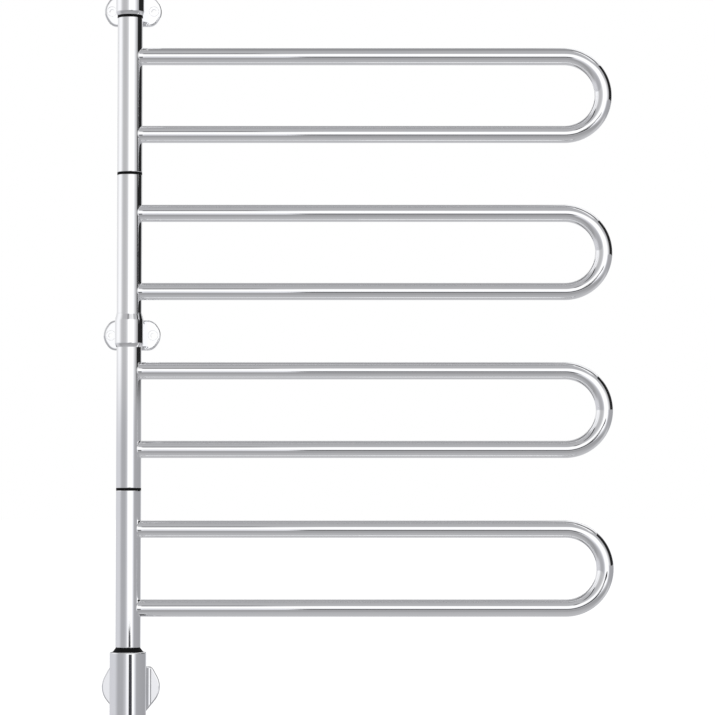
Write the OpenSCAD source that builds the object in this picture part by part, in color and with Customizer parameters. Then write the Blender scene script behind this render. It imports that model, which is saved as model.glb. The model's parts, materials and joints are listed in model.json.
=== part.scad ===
// Electric heated towel rail with four arms that swing round a post.
// +Z is up, the wall is the plane Y = 0, the front faces -Y and the arms lie along +X at rest.
// The origin is on the wall behind the stem of the bottom bracket.

/* [Post] */
// Outer diameter of the sleeves that make the post
post_d = 25.4; // [24.4:0.1:28]
// Wall of a sleeve
sleeve_wall = 1.2; // [0.8:0.1:1.6]
// Height of post that each arm takes, from joint to joint
arm_pitch = 161; // [140:1:200]
// Height of the lowest joint above the bottom bracket's stem
first_joint_z = 41.5; // [36:0.5:60]
// Distance from the wall to the post's axis
wall_gap = 40; // [36:0.5:60]
// Outer diameter of the core tube inside the sleeves
core_d = 16; // [14:0.1:16.8]
// Wall of the core tube
core_wall = 1.5; // [1:0.1:1.8]

/* [Bearing rings] */
// Thickness of the black ring that shows between two sleeves
ring_t = 2; // [1.2:0.1:4]
// How far a ring stands proud of the post, all round
ring_proud = 0.3; // [0:0.1:1]
// Length of a ring's spigot inside a sleeve
spigot_len = 8; // [4:0.5:14]
// Radial clearance of a running fit
run_clear = 0.05; // [0.02:0.01:0.1]

/* [Arms] */
// Outer diameter of the arm's tube
bar_d = 17.5; // [14:0.1:20]
// Wall of the arm's tube
bar_wall = 1.2; // [0.8:0.1:2]
// Distance between the two bars of an arm, centre to centre
bar_spacing = 80; // [60:1:100]
// Distance from the post's axis to the far end of an arm
arm_reach = 493; // [300:1:700]

/* [Heating cable] */
// Diameter of the heating cable
cable_d = 6; // [4:0.1:8]
// Diameter of the cable's cold leads and of the wires
lead_d = 2.4; // [1.6:0.1:2.6]
// Gap between the cable and the tube that it lies on
cable_clear = 0.3; // [0.1:0.1:0.5]
// Height of a cold lead's end above and below the middle of its arm
lead_rise = 6; // [4:0.5:20]

/* [Wall brackets] */
// Width of the top and middle wall plates
plate_w = 58; // [52:0.5:80]
// Height of the top and middle wall plates
plate_h = 31; // [24:0.5:40]
// Thickness of a wall plate
plate_t = 5; // [4:0.5:8]
// Radius of a wall plate's front edge
plate_edge = 2.5; // [1:0.1:2.9]
// Distance between the two wall screws of the top and middle plates
hole_spacing = 43.4; // [40:0.1:60]
// Diameter of a wall screw's hole
hole_d = 5; // [4:0.1:6]
// Diameter of the countersink
sink_d = 9; // [7:0.1:10]
// Diameter of a stand-off stem
stem_d = 12; // [10:0.5:14]

/* [Bottom wall plate] */
// Radius of the three round corners
lobe_r = 14.9; // [12:0.1:18]
// Distance of each side corner's centre from the middle
lobe_x = 14.85; // [12:0.05:20]
// Drop of the lower corner's centre
lobe_drop = 20.5; // [14:0.5:30]
// Height of the flat top edge above the stem
plate_top = 20.7; // [18:0.1:26]
// Half of the flat top edge's length
plate_top_half = 16; // [13:0.1:17]
// Radius of the two top corners
top_corner_r = 6; // [5.5:0.1:8]
// Height of the upper wall screw above the stem
upper_hole_z = 13.9; // [13.5:0.1:16]
// Drop of the lower wall screw below the stem
lower_hole_z = 22; // [18:0.5:30]
// Wall of the socket that takes the stem
socket_wall = 3; // [2:0.5:4]
// Depth of that socket in front of the plate
socket_depth = 8; // [5:0.5:10]

/* [Collars] */
// Outer diameter of the collars
collar_d = 29; // [28:0.1:36]
// Length of the middle collar
collar_len = 34.6; // [26:0.1:50]
// How far the middle collar reaches below its joint
collar_drop = 16.5; // [12:0.1:24]
// Length of the taper at a collar's top
collar_taper = 5; // [2:0.1:8]
// Length of the chamfer at a collar's bottom
collar_chamfer = 3.6; // [1:0.1:6]
// Length of the top collar
top_collar_len = 30; // [26:0.5:60]
// Height of the top bracket above the top joint
top_bracket_rise = 12; // [11:0.5:15]
// Drop of the middle bracket below the middle joint
middle_bracket_drop = 2.4; // [0:0.1:4]
// Height of the cap's dome
cap_h = 3.5; // [2.5:0.1:8]

/* [Housing] */
// Outer diameter of the housing
housing_d = 37; // [36.4:0.1:42]
// Wall of the housing
housing_wall = 1.5; // [1:0.1:2]
// Length of the housing's tube
housing_len = 100; // [96:1:140]
// Drop of the housing's top below the lowest joint
housing_drop = 5.2; // [4:0.1:10]
// Radius of the housing's top edge
housing_edge = 2; // [0.5:0.1:3]
// Distance of the conical seal's foot inside the housing's outer edge
seal_inset = 2.25; // [2:0.05:3]
// Half of the hub's length
hub_half = 12; // [10:0.5:16]
// Thickness of the base cap
base_t = 2.5; // [2:0.1:5]

/* [Push switch and cable gland] */
// Diameter of the push button
button_d = 9; // [7:0.1:9.6]
// Travel of the push button
button_travel = 1.5; // [0.5:0.1:3]
// How far the button stands out of its bezel
button_proud = 2.4; // [2:0.1:4]
// Diameter of the switch's threaded barrel
barrel_d = 12; // [12:0.1:12.6]
// Diameter of the switch's bezel
bezel_d = 14.4; // [14:0.1:16]
// Diameter of the gland's threaded barrel
gland_d = 8.6; // [8:0.1:9.4]
// Diameter of the lead that the gland takes
gland_bore_d = 6.4; // [5:0.1:7]
// Gap between the bezel and the gland's hexagon
switch_gap = 0.4; // [0.2:0.1:3]

/* [Hidden] */
$fn = 64;

// How far a cutting shape runs past the face that it cuts
overrun = 1;
// Segments of a circle in a blended shape
blend_fn = 40;
// Clearance of a part that is pushed or screwed into another of the same body
fit_clear = 0.05;
// Clearance between parts that move past each other and don't touch
free_clear = 0.3;

chrome = "#d9dadd";
nylon = "#17181a";
brass = "#c9a545";
steel = "#9fa2a6";
moulding = "#2b2c2f";
cable_colour = "#b5482f";

// Post
post_r = post_d / 2;
sleeve_bore_r = post_r - sleeve_wall;
core_r = core_d / 2;
core_bore_r = core_r - core_wall;
ring_half = ring_t / 2;
spigot_r = sleeve_bore_r - run_clear;
ring_bore_r = core_r + fit_clear;
sleeve_len = arm_pitch - ring_t;

// Arms
bar_r = bar_d / 2;
bar_bore_r = bar_r - bar_wall;
bend_r = bar_spacing / 2;
bend_x = arm_reach - bar_r - bend_r;

// Heating cable and leads
cable_r = cable_d / 2;
lead_r = lead_d / 2;
cable_sag = bar_bore_r - cable_r - cable_clear;
lead_path_r = (core_r + sleeve_bore_r) / 2;
cable_start_x = post_r + cable_r;
wire_r = core_bore_r - lead_r - cable_clear;
live_angle = -50;
neutral_angle = -130;
lead_lap = asin(lead_r / lead_path_r) / 2;
seam_turn = 45;
lead_hole_r = lead_r + free_clear;
stub_end_r = core_r + fit_clear;

// Collars
collar_r = collar_d / 2;
collar_bore_r = post_r + run_clear;
collar_lip = 0.4;
top_collar_z = ring_half;
top_core_len = top_collar_len * 2 / 3;
cap_step = 1;
cap_spigot_r = core_r + cap_step;
cap_spigot_len = top_collar_len / 6;
cap_edge_share = 0.6;

// Wall brackets
stem_r = stem_d / 2;
socket_r = stem_r + socket_wall;
socket_floor = plate_t / 2;
stem_screw_share = 5 / 12;
stem_screw_r = stem_r * stem_screw_share;
stem_screw_len = 14;
stem_screw_head_r = stem_screw_r * 2;
screw_key_share = 0.5;
grub_r = 2;
grub_margin = 1;

// Housing
housing_r = housing_d / 2;
housing_bore_r = housing_r - housing_wall;
housing_top_z = first_joint_z - housing_drop;
housing_bottom_z = housing_top_z - housing_len;
lid_t = housing_wall * 4 / 3;
seal_r = housing_r - seal_inset;
seal_spigot_r = seal_r - housing_edge - fit_clear;
seal_spigot_len = lid_t * 2;
seal_top_r = post_r - ring_proud;
seal_land = ring_half / 2;
hub_r = housing_bore_r - fit_clear;
hub_seat_z = -hub_half / 2;
hub_passage_r = core_bore_r;
hub_stem_r = core_r + core_wall / 2;

// Base cap and what it carries
base_rim_r = housing_bore_r - fit_clear;
base_rim_wall = 1.1;
base_rim_h = 6;
base_edge = base_t / 2;
base_screw_r = 1.2;
button_r = button_d / 2;
barrel_r = barrel_d / 2;
bezel_r = bezel_d / 2;
bezel_t = 1.5;
barrel_rise = 11.5;
barrel_top_z = housing_bottom_z + barrel_rise;
button_len = 8;
button_bore_r = button_r + run_clear;
indicator_t = bezel_t / 2;
bezel_lip = 0.4;
bezel_rim = 1.2;
indicator_in_r = button_bore_r + bezel_lip;
indicator_out_r = bezel_r - bezel_rim;
nut_t = 3;
nut_step = 1.2;
nut_corner_r = barrel_r + nut_step;
tag_w = 2.4;
tag_h = 5;
tag_t = 1;
gland_r = gland_d / 2;
gland_bore_r = gland_bore_d / 2;
gland_rise = 6.5;
gland_top_z = housing_bottom_z + gland_rise;
gland_step = 1.3;
gland_hex_r = gland_r + gland_step;
gland_flat_r = gland_hex_r * cos(30);
pair_half = bezel_r + gland_flat_r + switch_gap / 2;
switch_front = pair_half - bezel_r;
gland_back = pair_half - gland_flat_r;
gland_hex_h = 5;
gland_dome_h = 6;
gland_nut_t = 2.6;

// Carrier and the electrical parts on it
bore_clear = 0.75;
cutout_t = 4;
cutout_w = 10;
cutout_share = 0.34;
carrier_t = 2.5;
carrier_w = 18;
carrier_x = sqrt(pow(housing_bore_r, 2) - pow(cutout_w / 2, 2)) - bore_clear - cutout_t - carrier_t;
carrier_bottom_z = barrel_top_z + tag_t;
inner_h = -hub_half - barrel_top_z - tag_h;
cutout_h = inner_h * cutout_share;
block_share = 0.5;
block_drop_share = 0.34;
block_h = inner_h * block_share;
block_top_z = -hub_half - inner_h * block_drop_share;
block_back = 10;
block_wall = 2.5;
block_left = tag_x() + lead_r + block_wall;
terminal_r = 1.9;
terminal_len = 4.2;
terminal_inset = 0.5;
block_front = terminal_len + terminal_inset + lead_r + fit_clear - wire_y();
block_y = block_front + block_back;
wire_entry = block_h * 4 / 9;
row_shares = [0.22, 0.78];
earth_x = -3;
earth_y = block_back - terminal_inset - terminal_len / 4 - lead_r;
tag_ring_r = 3.4;
tag_ring_clear = 1.9;
earth_angle = 160;
earth_screw_x = (housing_bore_r - tag_ring_clear - tag_ring_r) * cos(earth_angle);
earth_screw_y = (housing_bore_r - tag_ring_clear - tag_ring_r) * sin(earth_angle);
earth_head_r = 3;
earth_head_h = 2;
earth_shank_r = 1.5;
earth_shank_len = 6;

// Height of joint i, counted from the lowest
function joint_z(i) = first_joint_z + i * arm_pitch;
// Height of the middle of arm n, counted from the top
function arm_z(n) = joint_z(len(arm_numbers) - n) + arm_pitch / 2;
arm_numbers = [1, 2, 3, 4];
top_joint_z = joint_z(len(arm_numbers));
middle_joint_z = joint_z(len(arm_numbers) / 2);
top_bracket_z = top_joint_z + top_bracket_rise;
middle_bracket_z = middle_joint_z - middle_bracket_drop;
core_bottom_z = hub_seat_z;
core_top_z = top_joint_z + top_collar_z + top_core_len;

// Round corners of the bottom plate seen from the front: x, z and radius
shield_corners = [
  [0, -lobe_drop, lobe_r],
  [lobe_x, 0, lobe_r],
  [plate_top_half, plate_top - top_corner_r, top_corner_r],
  [-plate_top_half, plate_top - top_corner_r, top_corner_r],
  [-lobe_x, 0, lobe_r]
];

// Puts its children on the post's axis at height z
module on_post(z) {
  translate([0, -wall_gap, z]) children();
}

// Hollow cylinder standing on the origin
module pipe(outer_r, inner_r, h) {
  difference() {
    cylinder(r = outer_r, h = h);
    translate([0, 0, -overrun]) cylinder(r = inner_r, h = h + 2 * overrun);
  }
}

// Cylinder that runs towards +Y from the origin
module along_y(r, h) {
  rotate([-90, 0, 0]) cylinder(r = r, h = h);
}

// Half section of a plate's rim: r wide, t thick, with its front edge rounded
module rim_section(r, t, edge) {
  square([r, t - edge]);
  square([r - edge, t]);
  translate([r - edge, t - edge]) intersection() {
    circle(r = edge);
    square([edge, edge]);
  }
}

// Wall plate with half-round ends, lying on its back face
module stadium_plate() {
  end_r = plate_h / 2;
  span = plate_w - plate_h;
  for (side = [-1, 1]) translate([side * span / 2, 0, 0])
    rotate_extrude() rim_section(end_r, plate_t, plate_edge);
  translate([-span / 2, 0, 0]) rotate([90, 0, 90]) linear_extrude(span)
    for (flip = [0, 1]) mirror([flip, 0]) rim_section(end_r, plate_t, plate_edge);
}

// Bottom wall plate: flat on top, with three round lobes, lying on its back face
module shield_plate() {
  hull() for (corner = shield_corners) translate([corner[0], corner[1], 0])
    rotate_extrude($fn = blend_fn) rim_section(corner[2], plate_t, plate_edge, $fn = blend_fn);
}

// Stands a plate against the wall, back face on Y = 0
module against_wall(z) {
  translate([0, 0, z]) rotate([90, 0, 0]) children();
}

// Cutting shape for a wall screw in a plate that lies on its back face
module screw_hole() {
  sink = (sink_d - hole_d) / 2;
  translate([0, 0, -overrun]) cylinder(d = hole_d, h = plate_t + 2 * overrun);
  translate([0, 0, plate_t - sink]) cylinder(d1 = hole_d, d2 = sink_d, h = sink);
  translate([0, 0, plate_t]) cylinder(d = sink_d, h = overrun);
}

// Fixed post
module core_tube() {
  color(steel) on_post(0) difference() {
    translate([0, 0, core_bottom_z]) pipe(core_r, core_bore_r, core_top_z - core_bottom_z);
    for (n = arm_numbers) {
      translate([0, 0, arm_z(n) + lead_rise]) rotate([0, 90, live_angle])
        cylinder(r = lead_hole_r, h = post_r);
      translate([0, 0, arm_z(n) - lead_rise]) rotate([0, 90, neutral_angle])
        cylinder(r = lead_hole_r, h = post_r);
    }
  }
}

module core_hub() {
  color(steel) on_post(0) difference() {
    translate([0, 0, -hub_half]) cylinder(r = hub_r, h = 2 * hub_half);
    translate([0, 0, core_bottom_z]) cylinder(r = ring_bore_r, h = 2 * hub_half);
    translate([0, 0, -hub_half - overrun]) cylinder(r = hub_passage_r, h = 2 * hub_half);
    translate([0, hub_stem_r, 0]) along_y(stem_r + fit_clear, hub_r);
    translate([-hub_r - overrun, 0, hub_half / 2]) rotate([0, 90, 0])
      cylinder(r = grub_r + fit_clear, h = hub_r);
    translate([0, (hub_stem_r + hub_r) / 2, -hub_half - overrun])
      cylinder(r = grub_r + fit_clear, h = hub_half);
    translate([earth_screw_x, earth_screw_y, -hub_half - overrun])
      cylinder(r = earth_shank_r + fit_clear, h = earth_shank_len + overrun);
  }
}

// Headless screw with a hexagon key, from z = 0 up, key at the bottom
module grub_screw(h) {
  difference() {
    cylinder(r = grub_r, h = h);
    translate([0, 0, -overrun])
      cylinder(r = grub_r * screw_key_share, h = overrun + grub_r, $fn = 6);
  }
}

module hub_screws() {
  color(steel) on_post(0) {
    translate([grub_margin - hub_r, 0, hub_half / 2]) rotate([0, 90, 0])
      grub_screw(hub_r - grub_margin - core_r);
    translate([0, (hub_stem_r + hub_r) / 2, -hub_half]) grub_screw(hub_half - stem_r);
  }
}

// Bearing bush: a flange that shows as a ring, with a spigot into each neighbour
module bearing_ring(i, flange_r) {
  color(nylon) on_post(joint_z(i)) difference() {
    union() {
      translate([0, 0, -ring_half]) cylinder(r = flange_r, h = ring_t);
      translate([0, 0, -ring_half - spigot_len])
        cylinder(r = spigot_r, h = ring_t + 2 * spigot_len);
    }
    translate([0, 0, -ring_t - spigot_len])
      cylinder(r = ring_bore_r, h = 2 * (ring_t + spigot_len));
  }
}

module ring_top() bearing_ring(4, post_r + ring_proud);
module ring_upper() bearing_ring(3, post_r + ring_proud);
module ring_middle() bearing_ring(2, post_r - fit_clear);
module ring_lower() bearing_ring(1, post_r + ring_proud);

module cone_seal() {
  top = ring_half;
  foot = -housing_drop;
  color(nylon) on_post(first_joint_z) rotate_extrude() polygon([
    [ring_bore_r, top + spigot_len], [spigot_r, top + spigot_len], [spigot_r, top],
    [seal_top_r, top], [seal_top_r, top - seal_land], [seal_r, foot + seal_land], [seal_r, foot],
    [seal_spigot_r, foot], [seal_spigot_r, foot - seal_spigot_len],
    [ring_bore_r, foot - seal_spigot_len]
  ]);
}

// Collars
module middle_collar() {
  color(chrome) on_post(middle_joint_z - collar_drop) rotate_extrude() polygon([
    [collar_bore_r, 0], [collar_bore_r + collar_lip, 0], [collar_r, collar_chamfer],
    [collar_r, collar_len - collar_taper], [collar_bore_r + collar_lip, collar_len],
    [collar_bore_r, collar_len]
  ]);
}

module top_collar() {
  counterbore = spigot_len + fit_clear;
  cap_seat = top_collar_len - cap_spigot_len;
  color(chrome) on_post(top_joint_z + top_collar_z) difference() {
    rotate_extrude() polygon([
      [0, 0], [post_r, 0], [post_r, collar_lip], [collar_r, collar_lip + collar_chamfer],
      [collar_r, top_collar_len], [0, top_collar_len]
    ]);
    translate([0, 0, -overrun]) cylinder(r = sleeve_bore_r, h = counterbore + overrun);
    translate([0, 0, -overrun]) cylinder(r = ring_bore_r, h = top_core_len + overrun);
    translate([0, 0, cap_seat - fit_clear])
      cylinder(r = cap_spigot_r + fit_clear, h = top_collar_len);
    translate([0, 0, top_core_len - overrun]) cylinder(r = core_bore_r, h = top_collar_len);
    translate([0, 0, top_core_len - grub_r - grub_margin])
      along_y(grub_r + fit_clear, collar_d);
  }
}

module top_collar_screw() {
  sunk = grub_r / 2;
  color(steel) on_post(top_joint_z + top_collar_z + top_core_len - grub_r - grub_margin)
    translate([0, collar_r - sunk, 0]) rotate([90, 0, 0]) grub_screw(collar_r - sunk - core_r);
}

module top_cap() {
  edge = cap_h * cap_edge_share;
  color(chrome) on_post(top_joint_z + top_collar_z + top_collar_len) union() {
    rotate_extrude() rim_section(collar_r, cap_h, edge);
    translate([0, 0, -cap_spigot_len]) cylinder(r = cap_spigot_r, h = cap_spigot_len + edge);
  }
}

// Wall plates
module wall_plate(z) {
  color(chrome) against_wall(z) difference() {
    stadium_plate();
    for (side = [-1, 1]) translate([side * hole_spacing / 2, 0, 0]) screw_hole();
    translate([0, 0, -overrun])
      cylinder(r = stem_screw_r + fit_clear, h = plate_t + 2 * overrun);
    cylinder(r1 = stem_screw_head_r + fit_clear, r2 = stem_screw_r + fit_clear, h = stem_screw_r);
    translate([0, 0, -overrun]) cylinder(r = stem_screw_head_r + fit_clear, h = overrun);
  }
}

module top_plate() wall_plate(top_bracket_z);
module middle_plate() wall_plate(middle_bracket_z);

module bottom_plate() {
  color(chrome) against_wall(0) difference() {
    union() {
      shield_plate();
      cylinder(r = socket_r, h = plate_t + socket_depth);
    }
    translate([0, upper_hole_z, 0]) screw_hole();
    translate([0, -lower_hole_z, 0]) screw_hole();
    translate([0, 0, socket_floor]) cylinder(r = stem_r + fit_clear, h = plate_t + socket_depth);
    translate([0, 0, plate_t + socket_depth / 2]) rotate([90, 0, 0])
      cylinder(r = grub_r + fit_clear, h = socket_r + overrun);
  }
}

// Stem from its wall plate to a collar, coped to the collar
module collar_stem(z) {
  color(chrome) translate([0, 0, z]) difference() {
    translate([0, -wall_gap, 0]) along_y(stem_r, wall_gap - plate_t);
    translate([0, -wall_gap, -stem_d]) cylinder(r = collar_r, h = 2 * stem_d);
    translate([0, -stem_screw_len, 0]) along_y(stem_screw_r + fit_clear, stem_screw_len);
  }
}

module top_stem() collar_stem(top_bracket_z);
module middle_stem() collar_stem(middle_bracket_z);

module bottom_stem() {
  front = wall_gap - hub_stem_r - fit_clear;
  color(chrome) translate([0, -front, 0]) along_y(stem_r, front - socket_floor - fit_clear);
}

// Countersunk screws put in from the wall side
module stem_screws() {
  color(steel) for (z = [top_bracket_z, middle_bracket_z]) against_wall(z) difference() {
    union() {
      cylinder(r1 = stem_screw_head_r, r2 = stem_screw_r, h = stem_screw_r);
      cylinder(r = stem_screw_r, h = stem_screw_len - fit_clear);
    }
    translate([0, 0, -overrun])
      cylinder(r = stem_screw_head_r * screw_key_share, h = overrun + stem_screw_r, $fn = 6);
  }
}

module socket_screw() {
  color(steel) translate([0, -plate_t - socket_depth / 2, -socket_r])
    grub_screw(socket_r - stem_r);
}

// Housing and base
module housing() {
  color(chrome) on_post(0) difference() {
    rotate_extrude() difference() {
      translate([0, housing_bottom_z]) rim_section(housing_r, housing_len, housing_edge);
      translate([0, housing_bottom_z - overrun])
        square([housing_bore_r, housing_len - lid_t + overrun]);
      translate([0, housing_top_z - 2 * lid_t])
        square([seal_spigot_r + fit_clear, 4 * lid_t]);
    }
    along_y(stem_r + fit_clear, housing_d);
    for (side = [-1, 1]) translate([0, 0, housing_bottom_z + base_rim_h / 2])
      rotate([0, side * 90, 0]) cylinder(r = base_screw_r + fit_clear, h = housing_d);
  }
}

module base_cap() {
  color(chrome) on_post(housing_bottom_z) difference() {
    union() {
      mirror([0, 0, 1]) rotate_extrude() rim_section(housing_r, base_t, base_edge);
      pipe(base_rim_r, base_rim_r - base_rim_wall, base_rim_h);
    }
    translate([0, -switch_front, -base_t - overrun])
      cylinder(r = barrel_r + fit_clear, h = base_t + 2 * overrun);
    translate([0, gland_back, -base_t - overrun])
      cylinder(r = gland_r + fit_clear, h = base_t + 2 * overrun);
    for (side = [-1, 1]) translate([0, 0, base_rim_h / 2]) rotate([0, side * 90, 0])
      cylinder(r = base_screw_r + fit_clear, h = housing_d);
  }
}

module base_screws() {
  length = housing_wall + base_rim_wall;
  color(steel) on_post(housing_bottom_z + base_rim_h / 2)
    for (side = [-1, 1]) rotate([0, side * 90, 0])
      translate([0, 0, housing_r - length]) cylinder(r = base_screw_r, h = length);
}

// Push switch, seen as a bezel under the base cap
module switch_body() {
  bezel_z = housing_bottom_z - base_t - bezel_t;
  bore_top = button_len - button_proud + button_travel + bezel_t;
  color(moulding) on_post(0) translate([0, -switch_front, 0]) union() {
    difference() {
      translate([0, 0, bezel_z]) union() {
        cylinder(r = bezel_r, h = bezel_t);
        cylinder(r = barrel_r, h = barrel_top_z - bezel_z);
      }
      translate([0, 0, bezel_z - overrun]) cylinder(r = button_bore_r, h = bore_top + overrun);
      translate([0, 0, bezel_z - overrun])
        pipe(indicator_out_r + fit_clear, indicator_in_r - fit_clear, indicator_t + overrun);
    }
    for (side = [-1, 1]) translate([side * tag_x(), wire_y() + switch_front, barrel_top_z])
      translate([-tag_w / 2, -tag_t / 2, 0]) cube([tag_w, tag_t, tag_h]);
  }
}

// Place of the live and neutral wires, which the switch's tags lie under
function tag_x() = wire_r * cos(live_angle);
function wire_y() = wire_r * sin(live_angle);

module switch_nut() {
  color(steel) on_post(housing_bottom_z) translate([0, -switch_front, 0]) difference() {
    cylinder(r = nut_corner_r, h = nut_t, $fn = 6);
    translate([0, 0, -overrun]) cylinder(r = barrel_r + fit_clear, h = nut_t + 2 * overrun);
  }
}

module indicator_ring() {
  color("#7d1d17") on_post(housing_bottom_z - base_t - bezel_t) translate([0, -switch_front, 0])
    pipe(indicator_out_r, indicator_in_r, indicator_t);
}

module push_button() {
  edge = button_proud / 4;
  color(moulding) on_post(housing_bottom_z - base_t - bezel_t - button_proud)
    translate([0, -switch_front, button_len]) mirror([0, 0, 1]) rotate_extrude()
      rim_section(button_r, button_len, edge);
}

module switch_leads() {
  bottom = barrel_top_z + tag_h;
  top = block_top_z - block_h + wire_entry / 2;
  color("black") on_post(0) for (side = [-1, 1])
    translate([side * tag_x(), wire_y(), bottom])
      cylinder(r = lead_r, h = top - bottom);
}

// Cable gland
module cable_gland() {
  flange_z = housing_bottom_z - base_t;
  color(moulding) on_post(0) translate([0, gland_back, 0]) difference() {
    union() {
      translate([0, 0, flange_z]) cylinder(r = gland_r, h = gland_top_z - flange_z);
      translate([0, 0, flange_z - gland_hex_h])
        cylinder(r = gland_hex_r, h = gland_hex_h, $fn = 6);
      translate([0, 0, flange_z - gland_hex_h - gland_dome_h])
        cylinder(r1 = gland_r, r2 = gland_flat_r, h = gland_dome_h);
    }
    translate([0, 0, flange_z - gland_hex_h - gland_dome_h - overrun])
      cylinder(r = gland_bore_r, h = housing_len);
  }
}

module gland_nut() {
  color(steel) on_post(housing_bottom_z) translate([0, gland_back, 0]) difference() {
    cylinder(r = gland_hex_r, h = gland_nut_t, $fn = 6);
    translate([0, 0, -overrun]) cylinder(r = gland_r + fit_clear, h = gland_nut_t + 2 * overrun);
  }
}

// Inner electrical parts
module carrier() {
  color(moulding) on_post(0) translate([carrier_x, -carrier_w / 2, carrier_bottom_z])
    cube([carrier_t, carrier_w, -hub_half - carrier_bottom_z]);
}

module terminal_block() {
  color("#e6e1d3") on_post(block_top_z) difference() {
    translate([-block_left, -block_front, -block_h])
      cube([block_left + carrier_x, block_y, block_h]);
    for (angle = [live_angle, neutral_angle]) rotate([0, 0, angle]) translate([wire_r, 0, 0]) {
      translate([0, 0, -wire_entry]) cylinder(r = lead_r + fit_clear, h = wire_entry + overrun);
      translate([0, 0, -block_h - overrun])
        cylinder(r = lead_r + fit_clear, h = wire_entry + overrun);
    }
    translate([earth_x, earth_y, -wire_entry])
      cylinder(r = lead_r + fit_clear, h = wire_entry + overrun);
    for (row = row_shares) {
      for (side = [-1, 1]) translate([side * tag_x(), -block_front - overrun, -row * block_h])
        along_y(terminal_r + fit_clear, terminal_len + terminal_inset + overrun);
      translate([earth_x, block_back + overrun, -row * block_h]) rotate([180, 0, 0])
        along_y(terminal_r + fit_clear, terminal_inset + terminal_len / 4 + overrun);
    }
  }
}

// Slotted screw whose head faces -Y
module terminal_screw(length) {
  difference() {
    along_y(terminal_r, length);
    translate([-terminal_r, -overrun, -terminal_inset / 2])
      cube([2 * terminal_r, overrun + terminal_inset, terminal_inset]);
  }
}

module terminal_screws() {
  color(brass) on_post(block_top_z) for (row = row_shares) {
    for (side = [-1, 1]) translate([side * tag_x(), -block_front + terminal_inset, -row * block_h])
      terminal_screw(terminal_len - fit_clear);
    translate([earth_x, block_back - terminal_inset, -row * block_h]) rotate([0, 0, 180])
      terminal_screw(terminal_len / 4 - fit_clear);
  }
}

module thermal_cutout() {
  color("#3c3f45") on_post(block_top_z - cutout_h)
    translate([carrier_x + carrier_t, -cutout_w / 2, 0]) cube([cutout_t, cutout_w, cutout_h]);
}

// Wire along the core tube, with a stub out to each arm
module riser(angle, rise) {
  top = arm_z(1) + rise;
  bottom = block_top_z - wire_entry + fit_clear;
  on_post(0) rotate([0, 0, angle]) {
    translate([wire_r, 0, bottom]) cylinder(r = lead_r, h = top - bottom);
    translate([wire_r, 0, top]) sphere(r = lead_r);
    for (n = arm_numbers) translate([wire_r, 0, arm_z(n) + rise]) rotate([0, 90, 0])
      cylinder(r = lead_r, h = stub_end_r - wire_r);
  }
}

module live_wire() color("#6b3a1e") riser(live_angle, lead_rise);
module neutral_wire() color("#2a5fb0") riser(neutral_angle, -lead_rise);

module earth_wire() {
  bottom = block_top_z - wire_entry + fit_clear;
  color("#7fae2c") on_post(0) translate([earth_x, earth_y, bottom])
    cylinder(r = lead_r, h = -hub_half - tag_t - bottom);
}

module earth_tag() {
  reach = [earth_x - earth_screw_x, earth_y - earth_screw_y];
  color(brass) on_post(-hub_half - tag_t) difference() {
    union() {
      translate([earth_screw_x, earth_screw_y, 0]) cylinder(r = tag_ring_r, h = tag_t);
      translate([earth_x, earth_y, 0]) cylinder(r = lead_r, h = tag_t);
      translate([earth_screw_x, earth_screw_y, 0]) rotate([0, 0, atan2(reach[1], reach[0])])
        translate([0, -lead_r, 0]) cube([norm(reach), lead_d, tag_t]);
    }
    translate([earth_screw_x, earth_screw_y, -overrun])
      cylinder(r = earth_shank_r + fit_clear, h = tag_t + 2 * overrun);
  }
}

module earth_screw() {
  color(brass) on_post(-hub_half - tag_t) translate([earth_screw_x, earth_screw_y, 0]) {
    translate([0, 0, -earth_head_h]) cylinder(r = earth_head_r, h = earth_head_h);
    cylinder(r = earth_shank_r, h = earth_shank_len);
  }
}

// Swinging arms
module arm_sleeve(n) {
  color(chrome) on_post(arm_z(n)) difference() {
    translate([0, 0, -sleeve_len / 2]) pipe(post_r, sleeve_bore_r, sleeve_len);
    for (side = [-1, 1]) translate([0, 0, side * bend_r]) rotate([0, 90, 0])
      cylinder(r = bar_bore_r, h = post_d);
  }
}

// Solid U of radius r: two straight runs from the post and a half ring
module u_run(r, start_x) {
  for (side = [-1, 1]) translate([start_x, 0, side * bend_r]) rotate([0, 90, 0])
    cylinder(r = r, h = bend_x - start_x);
  translate([bend_x, 0, 0]) rotate([90, 0, 0]) rotate([0, 0, -90])
    rotate_extrude(angle = 180) translate([bend_r, 0]) circle(r = r);
}

module arm_tube(n) {
  color(chrome) on_post(arm_z(n)) difference() {
    u_run(bar_r, 0);
    u_run(bar_bore_r, 0);
    translate([0, 0, -bar_spacing]) cylinder(r = post_r, h = 2 * bar_spacing);
  }
}

// Cold lead from the cable's end into the post, then up or down to its hole in the core tube
module cold_lead(side, angle) {
  entry_z = side * bend_r - cable_sag;
  exit_z = side * lead_rise;
  translate([lead_path_r, 0, entry_z]) {
    rotate([0, 90, 0]) cylinder(r = lead_r, h = cable_start_x + cable_r - lead_path_r);
    sphere(r = lead_r);
  }
  translate([lead_path_r, 0, min(entry_z, exit_z)]) cylinder(r = lead_r, h = abs(entry_z - exit_z));
  translate([lead_path_r, 0, exit_z]) rotate([seam_turn, seam_turn, 0]) sphere(r = lead_r);
  translate([0, 0, exit_z]) rotate([0, 0, angle]) rotate_extrude(angle = lead_lap - angle)
    translate([lead_path_r, 0]) circle(r = lead_r);
}

module arm_heater(n) {
  color(cable_colour) on_post(arm_z(n)) {
    translate([0, 0, -cable_sag]) u_run(cable_r, cable_start_x);
    cold_lead(1, live_angle);
    cold_lead(-1, neutral_angle);
  }
}

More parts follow.
